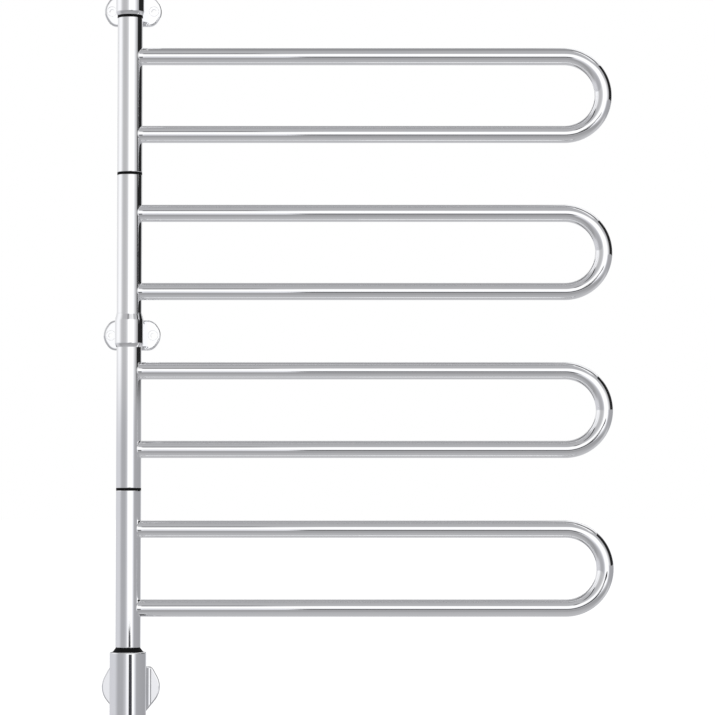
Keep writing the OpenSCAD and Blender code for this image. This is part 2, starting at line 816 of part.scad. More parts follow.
module arm_1_sleeve() arm_sleeve(1);
module arm_1_tube() arm_tube(1);
module arm_1_heater() arm_heater(1);
module arm_2_sleeve() arm_sleeve(2);
module arm_2_tube() arm_tube(2);
module arm_2_heater() arm_heater(2);
module arm_3_sleeve() arm_sleeve(3);
module arm_3_tube() arm_tube(3);
module arm_3_heater() arm_heater(3);
module arm_4_sleeve() arm_sleeve(4);
module arm_4_tube() arm_tube(4);
module arm_4_heater() arm_heater(4);

core_tube();
core_hub();
hub_screws();
ring_top();
ring_upper();
ring_middle();
ring_lower();
cone_seal();
middle_collar();
top_collar();
top_collar_screw();
top_cap();
top_plate();
middle_plate();
bottom_plate();
top_stem();
middle_stem();
bottom_stem();
stem_screws();
socket_screw();
housing();
base_cap();
base_screws();
switch_body();
switch_nut();
indicator_ring();
push_button();
switch_leads();
cable_gland();
gland_nut();
carrier();
terminal_block();
terminal_screws();
thermal_cutout();
live_wire();
neutral_wire();
earth_wire();
earth_tag();
earth_screw();
arm_1_sleeve();
arm_1_tube();
arm_1_heater();
arm_2_sleeve();
arm_2_tube();
arm_2_heater();
arm_3_sleeve();
arm_3_tube();
arm_3_heater();
arm_4_sleeve();
arm_4_tube();
arm_4_heater();
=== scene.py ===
"""Looks of a heated towel rail with four swinging arms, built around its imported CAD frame."""

import json
from math import asin, atan2, cos, hypot, pi, radians, sin, sqrt

import bmesh
import bpy
from mathutils import Matrix, Vector


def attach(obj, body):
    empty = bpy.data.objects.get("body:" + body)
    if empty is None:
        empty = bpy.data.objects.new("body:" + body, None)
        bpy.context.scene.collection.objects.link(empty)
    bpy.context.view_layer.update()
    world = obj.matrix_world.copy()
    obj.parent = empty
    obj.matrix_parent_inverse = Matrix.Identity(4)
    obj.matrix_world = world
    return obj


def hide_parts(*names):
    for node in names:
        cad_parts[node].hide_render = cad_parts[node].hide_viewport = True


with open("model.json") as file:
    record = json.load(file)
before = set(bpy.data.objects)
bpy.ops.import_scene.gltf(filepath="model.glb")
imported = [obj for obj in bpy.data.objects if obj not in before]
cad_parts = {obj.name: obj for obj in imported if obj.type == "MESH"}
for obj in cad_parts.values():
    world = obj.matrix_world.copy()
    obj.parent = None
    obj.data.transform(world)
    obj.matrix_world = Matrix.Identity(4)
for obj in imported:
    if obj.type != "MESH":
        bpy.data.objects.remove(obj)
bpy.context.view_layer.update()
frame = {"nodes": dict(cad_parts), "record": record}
NODES = frame["nodes"]

# Sizes that the pieces share with the CAD part, in metres
POST_Y = -0.040
POST_R = 0.0127
SLEEVE_BORE_R = 0.0115
SLEEVE_LEN = 0.159
BAR_R = 0.00875
BAR_BORE_R = 0.00755
BEND_R = 0.040
REACH = 0.493
BEND_X = REACH - BAR_R - BEND_R
ARM_Z = {1: 0.605, 2: 0.444, 3: 0.283, 4: 0.122}
GRUB_HOLE_R = 0.00205
STEM_BORE_R = 0.00605
WELD = 1e-7

# The photograph's frame, in pixels, and the camera fitted to it
PICTURE = 715
FOCAL_PX = 2850
SENSOR = 36.0
PITCH = radians(2.635)
CAMERA_AT = (0.2328, POST_Y - 2.9014, 0.2031)
CLIP_NEAR, CLIP_FAR = 0.05, 100

# A pale floor, its own glow, and the lamps: name, place, size and power
FLOOR_Z, FLOOR_HALF, FLOOR_GLOW = -0.160, 30.0, 0.47
FLOOR_COLOUR = (0.8, 0.8, 0.8, 1)
LAMPS = [("key", (-0.9, -2.3, 2.3), 1.4, 26), ("fill", (2.0, -1.6, 1.2), 1.2, 8)]
LAMPS_AIM = (0.25, POST_Y, 0.3)


# Node helpers
class Nodes:
    """Builds a node tree from short calls."""

    def __init__(self, tree):
        self.tree = tree
        tree.nodes.clear()

    def add(self, kind, inputs=None, **settings):
        node = self.tree.nodes.new(kind)
        for key, value in settings.items():
            setattr(node, key, value)
        for key, value in (inputs or {}).items():
            self.set(node.inputs[key], value)
        return node

    def set(self, socket, value):
        if isinstance(value, bpy.types.NodeSocket):
            self.tree.links.new(value, socket)
        elif isinstance(value, bpy.types.Node):
            self.tree.links.new(value.outputs[0], socket)
        else:
            socket.default_value = value

    def math(self, operation, a, b=0.0, c=0.0, clamp=False):
        node = self.add("ShaderNodeMath", {0: a, 1: b, 2: c}, operation=operation)
        node.use_clamp = clamp
        return node.outputs[0]

    def smooth(self, value, low, high):
        """0 below low, 1 above high, smooth between them."""
        node = self.add("ShaderNodeMapRange", {"Value": value, "From Min": low, "From Max": high})
        node.interpolation_type = "SMOOTHSTEP"
        return node.outputs[0]

    def band(self, value, low, high, soft):
        """1 between low and high, falling to 0 over soft on both sides."""
        rise = self.smooth(value, low - soft, low)
        over = self.math("SUBTRACT", value, high)
        fall = self.smooth(over, 0.0, soft)
        return self.math("MULTIPLY", rise, self.math("SUBTRACT", 1.0, fall))

    def mix(self, share, a, b):
        node = self.add("ShaderNodeMix", data_type="RGBA")
        self.set(node.inputs[0], share)
        self.set(node.inputs[6], a)
        self.set(node.inputs[7], b)
        return node.outputs[2]

    def ramp(self, value, stops):
        node = self.add("ShaderNodeValToRGB", {0: value})
        elements = node.color_ramp.elements
        while len(elements) > 1:
            elements.remove(elements[-1])
        elements[0].position, elements[0].color = stops[0][0], stops[0][1]
        for place, colour in stops[1:]:
            elements.new(place).color = colour
        return node.outputs[0]


def linear(value):
    """Linear light of a display value from 0 to 255."""
    v = value / 255
    return v / 12.92 if v <= 0.04045 else ((v + 0.055) / 1.055) ** 2.4


def grey(value, cool=0.0, gain=1.0):
    """Colour of a display grey, a little blue where cool is above 0."""
    v = linear(value) * gain
    return (v * (1 - cool * 0.6), v * (1 - cool * 0.45), v * (1 + cool), 1.0)


# Camera
def make_camera():
    """The camera that took the photograph, as fitted."""
    data = bpy.data.cameras.new("camera")
    data.sensor_width = SENSOR
    data.lens = SENSOR * FOCAL_PX / PICTURE
    data.clip_start, data.clip_end = CLIP_NEAR, CLIP_FAR
    camera = bpy.data.objects.new("camera", data)
    camera.location = CAMERA_AT
    camera.rotation_euler = (pi / 2 + PITCH, 0, 0)
    bpy.context.scene.collection.objects.link(camera)
    bpy.context.scene.camera = camera


# Studio: what the chrome mirrors, by direction in degrees. Azimuth 0 is the front and plus is the right.
# Greys are display values under the light of a plain white room, and cool is how blue one is.
# A band is its start, end and softness. A field is left, right, low, high, softness across and up.
CHROME = 0.90
LIT = 1 / CHROME
WHITE = (1.14, 1.14, 1.145, 1.0)
PLAIN = (0.72, 0.72, 0.73, 1.0)
COOL = 0.02

# Floor, walls and ceiling by elevation, and where the front gives way to the back on both sides
FRONT_WALL = [
    (-90, 182), (-60, 176), (-32, 152), (-14, 180), (0, 190), (30, 178), (67, 176), (80, 156), (90, 150),
]
BACK_WALL = [(-90, 182), (-44, 188), (-10, 205), (4, 226), (22, 205), (40, 178), (73, 140), (90, 150)]
TO_BACK, WALL_COOL = (80.0, 110.0), 0.022

# The walls round the horizon, above and below it, by azimuth, and the part that stands higher
UPPER_WALL = [
    (-180, 226), (-130, 224), (-105, 250), (-84, 250), (-60, 192), (-44, 184), (-24, 190), (-10, 217),
    (0, 252), (42, 252), (56, 218), (70, 174), (141, 150), (152, 215), (180, 226),
]
LOWER_WALL = [
    (-180, 205), (-100, 210), (-84, 208), (-60, 170), (-30, 170), (-15, 189), (8, 252), (39, 252),
    (47, 226), (60, 166), (141, 158), (152, 196), (180, 205),
]
UPPER_COOL, LOWER_COOL = 0.014, 0.034
HORIZON, WALLS_LOW, WALLS_HIGH, WALLS_SOFT = (0.6, 3.0), -12.0, 16.0, 14.0
TALL_WALL, TALL_RISE = (-150.0, -64.0, 12.0), 20.0

# High lights and a dark panel behind the right shoulder, each a field and its grey
PANELS = [
    ((128.0, 171.0, 24.0, 55.0, 4.0, 4.0), 248), ((90.0, 121.0, 47.0, 76.0, 5.0, 5.0), 112),
    ((58.0, 80.0, 50.0, 72.0, 5.0, 5.0), 250),
]
PANEL_COOL = 0.01

# A dark column, open at the level of the object, and a rail in the back of the room
COLUMN, COLUMN_REACH, COLUMN_LEVEL, COLUMN_GAP = (-154.0, -138.0, 2.0), (0.0, 46.0, 2.0), 1.0, 13.0
RAIL_FROM, RAIL = (164.0, 168.0), (5.0, 14.0, 2.0)
COLUMN_GREY, RAIL_GREY = 104, 58

# The black flag on the right, its top cut along a slope, and as it shows in what is mirrored twice
FLAG = (80.0, 141.0, 2.6, 50.0, 4.0, 1.2)
FLAG_AGAIN = (80.0, 165.0, 12.0, 75.0, 4.0, 1.0)
FLAG_SLOPE, FLAG_CUT, FLAG_GREY = 0.93, 0.03, 36

# The window in front, and where its middle and its far right part start. Its lower and upper edges and their
# softness are given for the left part, with the change in the middle and the change at the far right.
WINDOW, WINDOW_MIDDLE, WINDOW_FAR = (-3.5, 40.0, 6.0), (-2.0, -0.6), (5.0, 11.0)
WINDOW_LOW, WINDOW_LOW_SOFT = (4.8, -3.8, -10.0), (15.0, -7.0, 0.0)
WINDOW_HIGH, WINDOW_HIGH_SOFT = (29.0, 5.0, 2.0), (11.0, 0.0, -2.0)

# Its dark frame: two lengths along a slope, each a band up and a band across, and a bar under the right part
FRAME_SLOPE, FRAME_LEVEL = 0.12, 31.0
FRAME_LENGTHS = [((-2.8, 2.8, 1.8), (-8.0, -2.6, 0.8)), ((10.0, 15.6, 1.8), (-72.0, -24.0, 2.0))]
FRAME_UNDER, FRAME_GREY = (-1.0, 24.0, -19.0, -10.0, 0.5, 3.0), 74

# A light stand: a dark wedge that opens downwards from its tip
STAND_LEFT, STAND_WIDTH, STAND_OPEN, STAND_CURVE = 8.8, 22.5, 21.5, 0.06
STAND_TIP, STAND_SCALE, STAND_EDGE, STAND_FOOT = -2.79, 1.45, 0.9, (-8.0, -6.0)
STAND_GREY, STAND_COOL = 68, 0.09

# What is mirrored twice: grounds by azimuth below the horizon, the wall above it and its far left part
AGAIN_GROUND = 160
AGAIN_GROUNDS = [((40.0, 54.0, 6.0), 252, 0.01), ((-40.0, 34.0, 5.0), 150, 0.03)]
AGAIN_WALL, AGAIN_LEFT, AGAIN_LEFT_FROM, AGAIN_HORIZON = 254, 200, (-50.0, -70.0), (-1.0, 2.0)
AGAIN_COOL, AGAIN_WALL_COOL, AGAIN_DEPTH = 0.03, 0.01, (1.2, 1.8)


def studio(n):
    """Radiance of the studio in the direction that a ray leaves in."""
    place = n.add("ShaderNodeTexCoord").outputs["Generated"]
    x, y, z = n.add("ShaderNodeSeparateXYZ", {0: place}).outputs
    around = n.math("ARCTAN2", x, n.math("MULTIPLY", y, -1.0))
    azimuth = n.math("MULTIPLY", around, 180 / pi)
    elevation = n.math("MULTIPLY", n.math("ARCSINE", z), 180 / pi)
    turn = n.math("MULTIPLY_ADD", azimuth, 1 / 360, 0.5)
    tilt = n.math("MULTIPLY_ADD", elevation, 1 / 180, 0.5)

    def by_azimuth(stops, cool):
        return n.ramp(turn, [(0.5 + a / 360, grey(v, cool, LIT)) for a, v in stops])

    def by_elevation(stops, cool):
        return n.ramp(tilt, [(0.5 + e / 180, grey(v, cool, LIT)) for e, v in stops])

    def field(left, right, low, high, soft_across, soft_up):
        """1 inside a field of directions, with soft edges."""
        across = n.band(azimuth, left, right, soft_across)
        return n.math("MULTIPLY", across, n.band(elevation, low, high, soft_up))

    # Walls and panels
    behind = n.smooth(n.math("ABSOLUTE", azimuth), *TO_BACK)
    base = n.mix(behind, by_elevation(FRONT_WALL, WALL_COOL), by_elevation(BACK_WALL, WALL_COOL))
    upper, lower = by_azimuth(UPPER_WALL, UPPER_COOL), by_azimuth(LOWER_WALL, LOWER_COOL)
    level = n.mix(n.smooth(elevation, *HORIZON), lower, upper)
    walls_high = n.math("MULTIPLY_ADD", n.band(azimuth, *TALL_WALL), TALL_RISE, WALLS_HIGH)
    room = n.mix(n.band(elevation, WALLS_LOW, walls_high, WALLS_SOFT), base, level)
    for panel, value in PANELS:
        room = n.mix(field(*panel), room, grey(value, PANEL_COOL, LIT))

    # Column and rail
    apart = n.math("ABSOLUTE", n.math("SUBTRACT", elevation, COLUMN_LEVEL))
    apart = n.math("SUBTRACT", apart, COLUMN_GAP)
    column = n.math("MULTIPLY", n.band(azimuth, *COLUMN), n.band(apart, *COLUMN_REACH))
    room = n.mix(column, room, grey(COLUMN_GREY, COOL, LIT))
    aside = n.smooth(n.math("ABSOLUTE", azimuth), *RAIL_FROM)
    rail = n.math("MULTIPLY", aside, n.band(elevation, *RAIL))
    room = n.mix(rail, room, grey(RAIL_GREY, COOL, LIT))

    # Flag
    crown = n.math("SUBTRACT", z, n.math("MULTIPLY", x, FLAG_SLOPE))
    flag = n.math("MULTIPLY", field(*FLAG), n.smooth(crown, FLAG_CUT, 0.0))
    room = n.mix(flag, room, grey(FLAG_GREY, COOL, LIT))

    # Window
    middle = n.smooth(azimuth, *WINDOW_MIDDLE)
    far = n.smooth(azimuth, *WINDOW_FAR)

    def stepped(left, at_middle, at_far):
        """A level that changes at the window's middle and at its far right part."""
        return n.math("MULTIPLY_ADD", far, at_far, n.math("MULTIPLY_ADD", middle, at_middle, left))

    low, low_soft = stepped(*WINDOW_LOW), stepped(*WINDOW_LOW_SOFT)
    high, high_soft = stepped(*WINDOW_HIGH), stepped(*WINDOW_HIGH_SOFT)
    foot = n.math("SUBTRACT", low, low_soft)
    rise = n.math("DIVIDE", n.math("SUBTRACT", elevation, foot), low_soft, clamp=True)
    fall = n.math("DIVIDE", n.math("SUBTRACT", high, elevation), high_soft, clamp=True)
    lit = n.math("MULTIPLY", n.smooth(rise, 0.0, 1.0), n.smooth(fall, 0.0, 1.0))
    room = n.mix(n.math("MULTIPLY", lit, n.band(azimuth, *WINDOW)), room, WHITE)

    # Frame
    slope = n.math("SUBTRACT", elevation, n.math("MULTIPLY_ADD", azimuth, FRAME_SLOPE, FRAME_LEVEL))
    dark = field(*FRAME_UNDER)
    for up, across in FRAME_LENGTHS:
        length = n.math("MULTIPLY", n.band(slope, *up), n.band(azimuth, *across))
        dark = n.math("MAXIMUM", dark, length)
    room = n.mix(dark, room, grey(FRAME_GREY, COOL, LIT))

    # Stand
    width = n.math("MULTIPLY_ADD", elevation, -1 / STAND_SCALE, STAND_TIP / STAND_SCALE)
    width = n.math("POWER", n.math("MAXIMUM", width, 0.0), STAND_CURVE)
    width = n.math("MINIMUM", n.math("MULTIPLY", width, STAND_OPEN), STAND_WIDTH)
    inside = n.math("MINIMUM", n.math("SUBTRACT", azimuth, STAND_LEFT),
                    n.math("SUBTRACT", n.math("ADD", width, STAND_LEFT), azimuth))
    stand = n.math("MULTIPLY", n.smooth(inside, 0.0, STAND_EDGE), n.smooth(elevation, *STAND_FOOT))
    room = n.mix(stand, room, grey(STAND_GREY, STAND_COOL, LIT))

    # Mirrored twice
    again = LIT / CHROME
    ground = grey(AGAIN_GROUND, AGAIN_COOL, again)
    for across, value, cool in AGAIN_GROUNDS:
        ground = n.mix(n.band(azimuth, *across), ground, grey(value, cool, again))
    wall = n.mix(n.smooth(elevation, *AGAIN_HORIZON), ground, grey(AGAIN_WALL, AGAIN_WALL_COOL, again))
    wall = n.mix(n.smooth(azimuth, *AGAIN_LEFT_FROM), wall, grey(AGAIN_LEFT, COOL, again))
    wall = n.mix(field(*FLAG_AGAIN), wall, grey(FLAG_GREY, COOL, again))
    depth = n.add("ShaderNodeLightPath").outputs["Glossy Depth"]
    return n.mix(n.smooth(depth, *AGAIN_DEPTH), room, wall)


def make_world():
    """The studio for what chrome mirrors, white for the camera and plain light for the rest."""
    world = bpy.data.worlds.new("studio")
    world.use_nodes = True
    bpy.context.scene.world = world
    n = Nodes(world.node_tree)
    mirrored = n.add("ShaderNodeBackground", {"Color": studio(n), "Strength": 1.0})
    plain = n.add("ShaderNodeBackground", {"Color": PLAIN, "Strength": 1.0})
    white = n.add("ShaderNodeBackground", {"Color": (1, 1, 1, 1), "Strength": 1.0})
    path = n.add("ShaderNodeLightPath")
    glossy = n.add("ShaderNodeMixShader", {0: path.outputs["Is Glossy Ray"], 1: plain, 2: mirrored})
    seen = n.math("MAXIMUM", path.outputs["Is Camera Ray"], path.outputs["Is Transmission Ray"])
    shown = n.add("ShaderNodeMixShader", {0: seen, 1: glossy, 2: white})
    n.add("ShaderNodeOutputWorld", {"Surface": shown})


def make_lamp(name, at, size, watts):
    """A square lamp that points at the object and isn't seen itself."""
    data = bpy.data.lights.new(name, "AREA")
    data.shape, data.size, data.energy = "SQUARE", size, watts
    lamp = bpy.data.objects.new(name, data)
    lamp.location = at
    lamp.rotation_euler = (Vector(LAMPS_AIM) - Vector(at)).to_track_quat("-Z", "Y").to_euler()
    lamp.visible_glossy = False
    lamp.visible_camera = False
    bpy.context.scene.collection.objects.link(lamp)


def make_floor():
    """A pale floor that shows from above only, so views from below see the object."""
    half = FLOOR_HALF
    mesh = bpy.data.meshes.new("floor")
    mesh.from_pydata(
        [(-half, -half, FLOOR_Z), (half, -half, FLOOR_Z), (half, half, FLOOR_Z), (-half, half, FLOOR_Z)],
        [], [(0, 1, 2, 3)],
    )
    floor = bpy.data.objects.new("floor", mesh)
    bpy.context.scene.collection.objects.link(floor)
    floor.visible_glossy = False
    material = bpy.data.materials.new("floor")
    material.use_nodes = True
    n = Nodes(material.node_tree)
    pale = n.add("ShaderNodeBsdfDiffuse", {"Color": FLOOR_COLOUR})
    glow = n.add("ShaderNodeEmission", {"Color": (1, 1, 1, 1), "Strength": FLOOR_GLOW})
    both = n.add("ShaderNodeAddShader", {0: pale, 1: glow})
    camera = n.add("ShaderNodeLightPath").outputs["Is Camera Ray"]
    above = n.add("ShaderNodeMixShader", {0: camera, 1: pale, 2: both})
    below = n.add("ShaderNodeBsdfTransparent")
    under = n.add("ShaderNodeNewGeometry").outputs["Backfacing"]
    shown = n.add("ShaderNodeMixShader", {0: under, 1: above, 2: below})
    n.add("ShaderNodeOutputMaterial", {"Surface": shown})
    mesh.materials.append(material)


# Materials: sizes of their clouds and grain as texture scales, and the grain's height in metres
METAL_CLOUD, METAL_FINE, METAL_GRAIN, PLASTIC_CLOUD = 38.0, 420.0, 900.0, 60.0
GRAIN_HEIGHT = 0.0001
CLOUD_FROM, CLOUD_TO = 0.3, 0.7


def new_material(name):
    """A material with an empty node tree, and the helper that fills it."""
    material = bpy.data.materials.new(name)
    material.use_nodes = True
    return material, Nodes(material.node_tree)


def noise(n, place, scale, detail, roughness=0.5):
    """Noise from 0 to 1 at a place on the piece."""
    node = n.add("ShaderNodeTexNoise", {
        "Vector": place, "Scale": scale, "Detail": detail, "Roughness": roughness,
    })
    return node.outputs[0]


def make_metal(name, colour, tint, rough, rough_swing, bump=0.0):
    """A metal whose plating or grain varies a little in colour, gloss and level."""
    material, n = new_material(name)
    place = n.add("ShaderNodeTexCoord").outputs["Object"]
    cloud = noise(n, place, METAL_CLOUD, 5.0)
    fine = noise(n, place, METAL_FINE, 3.0)
    base = n.ramp(cloud, [(CLOUD_FROM, (*colour, 1)), (CLOUD_TO, (*tint, 1))])
    gloss = n.math("MULTIPLY_ADD", fine, rough_swing, rough)
    inputs = {"Base Color": base, "Metallic": 1.0, "Roughness": gloss}
    if bump:
        grain = noise(n, place, METAL_GRAIN, 2.0)
        inputs["Normal"] = n.add("ShaderNodeBump", {
            "Strength": bump, "Distance": GRAIN_HEIGHT, "Height": grain,
        })
    shader = n.add("ShaderNodeBsdfPrincipled", inputs)
    n.add("ShaderNodeOutputMaterial", {"Surface": shader})
    return material


def make_plastic(name, colour, tint, rough, rough_swing, bump, bump_scale, specular=0.5):
    """A moulded plastic with a fine spark-eroded grain."""
    material, n = new_material(name)
    place = n.add("ShaderNodeTexCoord").outputs["Object"]
    cloud = noise(n, place, PLASTIC_CLOUD, 4.0)
    grain = noise(n, place, bump_scale, 3.0, 0.6)
    base = n.ramp(cloud, [(CLOUD_FROM, (*colour, 1)), (CLOUD_TO, (*tint, 1))])
    gloss = n.math("MULTIPLY_ADD", grain, rough_swing, rough)
    level = n.add("ShaderNodeBump", {"Strength": bump, "Distance": GRAIN_HEIGHT, "Height": grain})
    shader = n.add("ShaderNodeBsdfPrincipled", {
        "Base Color": base, "Roughness": gloss, "Normal": level, "Specular IOR Level": specular,
    })
    n.add("ShaderNodeOutputMaterial", {"Surface": shader})
    return material


# Mesh helpers
def add_piece(name, bm, material, body, replaced=(), crease=30.0):
    """Makes an object from bm, smooth but for edges sharper than crease, and rides it on body."""
    bmesh.ops.recalc_face_normals(bm, faces=bm.faces)
    for face in bm.faces:
        face.smooth = True
    for edge in bm.edges:
        if len(edge.link_faces) == 2:
            edge.smooth = edge.calc_face_angle(0.0) < radians(crease)
    mesh = bpy.data.meshes.new(name)
    bm.to_mesh(mesh)
    bm.free()
    mesh.materials.append(material)
    piece = bpy.data.objects.new(name, mesh)
    bpy.context.scene.collection.objects.link(piece)
    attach(piece, body)
    if replaced:
        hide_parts(*replaced)
    return piece


def bridge(bm, first, second):
    """Faces between two rings of as many points."""
    count = len(first)
    for i in range(count):
        j = (i + 1) % count
        bm.faces.new((first[i], first[j], second[j], second[i]))


def lathe(bm, profile, z, segments=128):
    """Revolves a closed outline of (radius, height) round the post's axis."""
    rings = []
    for radius, height in profile:
        rings.append([
            bm.verts.new((
                radius * cos(2 * pi * k / segments),
                POST_Y + radius * sin(2 * pi * k / segments),
                z + height,
            ))
            for k in range(segments)
        ])
    for i, ring in enumerate(rings):
        bridge(bm, ring, rings[(i + 1) % len(rings)])


# Bearing rings, whose flanges are a little thicker than the CAD's, and the sleeves that give way to them
JOINT_Z = {"ring_top": 0.6855, "ring_upper": 0.5245, "ring_lower": 0.2025}
FLANGE_HALF, FLANGE_EXTRA, RUN_GAP = 0.001, 0.00035, 0.00003
FLUSH_R, TOP_RING_R = 0.01275, 0.0130
RING_BORE_R, SPIGOT_R, SPIGOT_LEN = 0.00805, 0.01145, 0.008
RING_SIDE = {1: -1, 2: 1, 3: -1, 4: 1}
RING_EDGE, SLEEVE_EDGE = 0.00015, 0.00025

# Collars, the top one lifted off its ring's flange
TOP_COLLAR_Z, TOP_COLLAR_LEN, COLLAR_LIFT = 0.6865, 0.030, 0.00065
COLLAR_R, COLLAR_FOOT_R, COUNTERBORE = 0.0145, 0.0131, 0.00805
CORE_BORE_R, CORE_STOP = 0.0065, 0.020
CAP_SEAT_R, CAP_SEAT = 0.00905, 0.02495
TOP_CHAMFER, TOP_LEVELS, TOP_EDGE = 0.0039, (0.0042, 0.0048, 0.0075), 0.003
TOP_GRUB, GRUB_FROM, GRUB_TO = 0.017, 0.005, 0.02
COLLAR_EDGE, EDGE = 0.0002, 0.0001
MIDDLE_COLLAR_Z, MIDDLE_COLLAR_TOP, MIDDLE_BORE_R = 0.347, 0.3816, 0.01275
MIDDLE_FOOT, MIDDLE_FOOT_R, MIDDLE_CHAMFER, MIDDLE_LEVELS = 0.01305, 0.01325, 0.0035, (0.0038, 0.0043, 0.0065)
NECK_R, SHOULDER, SHOULDER_STEPS, SHOULDER_BEND = 0.01295, 0.0072, 18, 0.12
SHOULDER_LEVELS = (0.0025, 0.0006)


def make_ring(node, radius, low, high, material):
    """A flanged bush: its flange between the levels low and high, a spigot on both sides."""
    end, edge = FLANGE_HALF + SPIGOT_LEN, RING_EDGE
    bm = bmesh.new()
    lathe(bm, [
        (RING_BORE_R, -end), (SPIGOT_R, -end), (SPIGOT_R, low), (radius - edge, low), (radius, low + edge),
        (radius, high - edge), (radius - edge, high), (SPIGOT_R, high), (SPIGOT_R, end), (RING_BORE_R, end),
    ], JOINT_Z[node])
    return add_piece(node + "_bush", bm, material, "post", [node])


def make_sleeve(n, material):
    """A length of post with lightly broken edges at both ends."""
    edge = SLEEVE_EDGE
    outline = []
    for side in (-1, 1):
        half = SLEEVE_LEN / 2 - (FLANGE_EXTRA if side == RING_SIDE[n] else 0.0)
        outline.append([
            (SLEEVE_BORE_R, side * half), (POST_R - edge, side * half),
            (POST_R - edge * 0.3, side * (half - edge * 0.3)), (POST_R, side * (half - edge)),
            (POST_R, side * (half - 2.5 * edge)), (POST_R, side * (half - 10 * edge)),
        ])
    bm = bmesh.new()
    lathe(bm, outline[0] + outline[1][::-1], ARM_Z[n])
    return add_piece(f"sleeve_{n}", bm, material, f"arm_{n}", [f"arm_{n}_sleeve"], 40.0)


def make_top_collar(material):
    """Collar over the top joint, chamfered below, with the grub screw's hole behind."""
    full, foot, top = COLLAR_R, COLLAR_FOOT_R, TOP_COLLAR_LEN
    outline = [
        (SLEEVE_BORE_R, COLLAR_LIFT), (foot - COLLAR_EDGE, COLLAR_LIFT), (foot, COLLAR_LIFT + COLLAR_EDGE),
        (full - EDGE, TOP_CHAMFER),
    ]
    outline += [(full, level) for level in (*TOP_LEVELS, top - TOP_EDGE, top)]
    outline += [
        (CAP_SEAT_R, top), (CAP_SEAT_R, CAP_SEAT), (CORE_BORE_R, CAP_SEAT), (CORE_BORE_R, CORE_STOP),
        (RING_BORE_R, CORE_STOP), (RING_BORE_R, COUNTERBORE), (SLEEVE_BORE_R, COUNTERBORE),
    ]
    bm = bmesh.new()
    lathe(bm, outline, TOP_COLLAR_Z)
    hole = [(GRUB_HOLE_R, GRUB_FROM), (GRUB_HOLE_R, GRUB_TO)]
    bm = combine(loose("collar_blank", bm), [
        ("DIFFERENCE", cutter("grub", hole, (0, POST_Y, TOP_COLLAR_Z + TOP_GRUB), (0, 1, 0))),
    ])
    return add_piece("top_joint_collar", bm, material, "post", ["top_collar"], 34.0)


def make_middle_collar(material):
    """Collar over the middle joint: chamfered below, drawn in to the post above."""
    length, bore, full, neck = MIDDLE_COLLAR_TOP - MIDDLE_COLLAR_Z, MIDDLE_BORE_R, COLLAR_R, NECK_R
    start, bend = length - SHOULDER - COLLAR_EDGE, SHOULDER_BEND
    outline = [(bore, 0.0), (MIDDLE_FOOT, 0.0), (MIDDLE_FOOT_R, COLLAR_EDGE), (full - EDGE, MIDDLE_CHAMFER)]
    outline += [(full, level) for level in (*MIDDLE_LEVELS, *(start - below for below in SHOULDER_LEVELS))]
    for i in range(SHOULDER_STEPS + 1):
        t = i / SHOULDER_STEPS
        if t < bend:
            fall = t * t / (2 * bend)
        elif t > 1 - bend:
            fall = 1 - bend - (1 - t) ** 2 / (2 * bend)
        else:
            fall = t - bend / 2
        outline.append((full - (full - neck) * fall / (1 - bend), start + SHOULDER * t))
    outline += [(neck, length - EDGE), (neck - EDGE, length), (bore, length)]
    bm = bmesh.new()
    lathe(bm, outline, MIDDLE_COLLAR_Z)
    return add_piece("middle_joint_collar", bm, material, "post", ["middle_collar"], 34.0)


# Arms: points round the tube, the brazed fillet's radius and steps, the steps of the bend, and levels of a run
TUBE_AROUND, FILLET, FILLET_STEPS, BEND_STEPS = 72, 0.0008, 6, 64
RUN_LEVELS = (0.0165, 0.024, 0.06, 0.12, 0.2, 0.28, 0.36, 0.42)


def make_tube(n, material):
    """The U-bent tube, coped to its sleeve at both ends with a small brazed fillet."""
    around, fillet = TUBE_AROUND, FILLET
    bm = bmesh.new()

    def run(side, radius, flare):
        """Rings of one straight run, from the sleeve to the bend."""
        rows = [(radius, 0.0, None)]
        if flare:
            turns = [pi / 2 * i / FILLET_STEPS for i in range(FILLET_STEPS + 1)]
            rows = [(radius + fillet * (1 - sin(t)), fillet * (1 - cos(t)), None) for t in turns]
        rows += [(radius, 0.0, level) for level in RUN_LEVELS]
        rings = []
        for r, offset, level in rows:
            ring = []
            for k in range(around):
                a = 2 * pi * k / around
                x = sqrt(POST_R ** 2 - (r * sin(a)) ** 2) + offset if level is None else level
                ring.append(bm.verts.new((x, POST_Y + r * sin(a), ARM_Z[n] + side * (BEND_R + r * cos(a)))))
            rings.append(ring)
        return rings

    def skin(radius, flare):
        """All rings of one skin, from the upper end round the bend to the lower end."""
        bend = []
        for i in range(BEND_STEPS + 1):
            turn = pi / 2 - pi * i / BEND_STEPS
            ring = []
            for k in range(around):
                a = 2 * pi * k / around
                out = BEND_R + radius * cos(a)
                ring.append(bm.verts.new((
                    BEND_X + out * cos(turn), POST_Y + radius * sin(a), ARM_Z[n] + out * sin(turn),
                )))
            bend.append(ring)
        return run(1, radius, flare) + bend + run(-1, radius, flare)[::-1]

    outer, inner = skin(BAR_R, True), skin(BAR_BORE_R, False)
    for rings in (outer, inner):
        for first, second in zip(rings, rings[1:]):
            bridge(bm, first, second)
    bridge(bm, outer[0], inner[0])
    bridge(bm, outer[-1], inner[-1])
    return add_piece(f"u_tube_{n}", bm, material, f"arm_{n}", [f"arm_{n}_tube"], 40.0)


